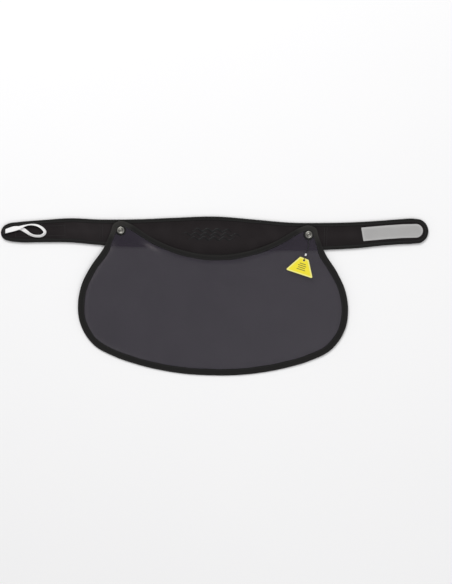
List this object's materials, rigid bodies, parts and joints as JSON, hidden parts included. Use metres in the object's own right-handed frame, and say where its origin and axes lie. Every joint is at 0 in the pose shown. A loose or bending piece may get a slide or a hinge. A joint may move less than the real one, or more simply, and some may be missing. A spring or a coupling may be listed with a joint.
{
  "type": "sun visor headband",
  "caption": "Wrap-around headband with a wide smoked film face shade on press studs, hook and loop closure, storage loop and hang tag.",
  "frame": {"origin": "middle of the front panel on the lining's inner face, level with the press studs", "axes": "+X along the band towards the hook tape, +Y up the forehead, +Z out of the front face; the band lies flat"},
  "size_m": [0.6403, 0.2421, 0.0102],
  "materials": {
    "band_shell": "black knit fabric",
    "band_lining": "black brushed lining",
    "foam": "soft foam",
    "binding_tape": "black woven bias tape",
    "smoked_film": "smoked translucent film, satin",
    "nickel": "aged nickel",
    "hook_fabric": "light grey hook tape",
    "loop_fabric": "black loop tape",
    "elastic_cord": "white flat elastic",
    "tag_card": "yellow printed card",
    "tag_string": "black string",
    "lock_plastic": "translucent white plastic"
  },
  "bodies": {
    "front_center": {"front_shell": "band_shell", "front_lining": "band_lining", "front_foam": "foam", "front_top_binding": "binding_tape", "front_bottom_binding": "binding_tape", "visor_top_binding": "binding_tape", "visor_bottom_binding": "binding_tape", "visor_film": "smoked_film"},
    "left_front": {"left_front_shell": "band_shell", "left_front_lining": "band_lining", "left_front_foam": "foam", "left_front_top_binding": "binding_tape", "left_front_bottom_binding": "binding_tape", "left_visor_top_binding": "binding_tape", "left_visor_side_binding": "binding_tape", "left_visor_film": "smoked_film", "left_snap_stud": "nickel", "left_snap_post": "nickel"},
    "left_ear": {"left_ear_film": "smoked_film", "left_ear_binding": "binding_tape", "left_snap_cap": "nickel", "left_snap_socket": "nickel"},
    "left_strap": {"left_strap_shell": "band_shell", "left_strap_lining": "band_lining", "left_strap_top_binding": "binding_tape", "left_strap_bottom_binding": "binding_tape"},
    "left_tip": {"left_tip_shell": "band_shell", "left_tip_lining": "band_lining", "left_tip_binding": "binding_tape", "loop_tape": "loop_fabric"},
    "right_front": {"right_front_shell": "band_shell", "right_front_lining": "band_lining", "right_front_foam": "foam", "right_front_top_binding": "binding_tape", "right_front_bottom_binding": "binding_tape", "right_visor_top_binding": "binding_tape", "right_visor_side_binding": "binding_tape", "right_visor_film": "smoked_film", "right_snap_stud": "nickel", "right_snap_post": "nickel"},
    "right_ear": {"right_ear_film": "smoked_film", "right_ear_binding": "binding_tape", "right_snap_cap": "nickel", "right_snap_socket": "nickel"},
    "right_strap": {"right_strap_shell": "band_shell", "right_strap_lining": "band_lining", "right_strap_top_binding": "binding_tape", "right_strap_bottom_binding": "binding_tape"},
    "right_tip": {"right_tip_shell": "band_shell", "right_tip_lining": "band_lining", "right_tip_binding": "binding_tape", "hook_tape": "hook_fabric"},
    "storage_loop": {"storage_loop_cord": "elastic_cord"},
    "hang_tag": {"tag_card": "tag_card", "tag_string": "tag_string", "tag_lock": "lock_plastic"}
  },
  "joints": [
    {"name": "left_wrap", "type": "hinge", "parent": "front_center", "child": "left_front", "pos_m": [-0.06, 0, 0], "axis": [0, -1, 0], "range_deg": [0, 77]},
    {"name": "left_strap_wrap", "type": "hinge", "parent": "left_front", "child": "left_strap", "pos_m": [-0.172, 0, 0], "axis": [0, -1, 0], "range_deg": [0, 43.37]},
    {"name": "left_tip_wrap", "type": "hinge", "parent": "left_strap", "child": "left_tip", "pos_m": [-0.214, 0, 0], "axis": [0, -1, 0], "range_deg": [0, 59.83]},
    {"name": "left_snap_release", "type": "slide", "parent": "left_front", "child": "left_ear", "axis": [0, 0, 1], "range_m": [0, 0.006]},
    {"name": "right_wrap", "type": "hinge", "parent": "front_center", "child": "right_front", "pos_m": [0.06, 0, 0], "axis": [0, 1, 0], "range_deg": [0, 73]},
    {"name": "right_strap_wrap", "type": "hinge", "parent": "right_front", "child": "right_strap", "pos_m": [0.172, 0, 0], "axis": [0, 1, 0], "range_deg": [0, 55.1]},
    {"name": "right_tip_wrap", "type": "hinge", "parent": "right_strap", "child": "right_tip", "pos_m": [0.214, 0, 0], "axis": [0, 1, 0], "range_deg": [0, 52.1]},
    {"name": "right_snap_release", "type": "slide", "parent": "right_front", "child": "right_ear", "axis": [0, 0, 1], "range_m": [0, 0.006]},
    {"name": "storage_loop_swing", "type": "hinge", "parent": "left_tip", "child": "storage_loop", "pos_m": [-0.3144, 0, 0.0062], "axis": [0, -1, 0], "range_deg": [0, 175]},
    {"name": "hang_tag_swing", "type": "hinge", "parent": "right_ear", "child": "hang_tag", "pos_m": [0.1407, 0, 0.007], "axis": [0, -0.028, 0.9996], "range_deg": [-35, 35]}
  ],
  "couplings": [
    {"joint": "left_strap_wrap", "follows": "left_wrap", "ratio": 0.56195},
    {"joint": "left_tip_wrap", "follows": "left_wrap", "ratio": 0.77571},
    {"joint": "right_strap_wrap", "follows": "right_wrap", "ratio": 0.75343},
    {"joint": "right_tip_wrap", "follows": "right_wrap", "ratio": 0.71233}
  ]
}
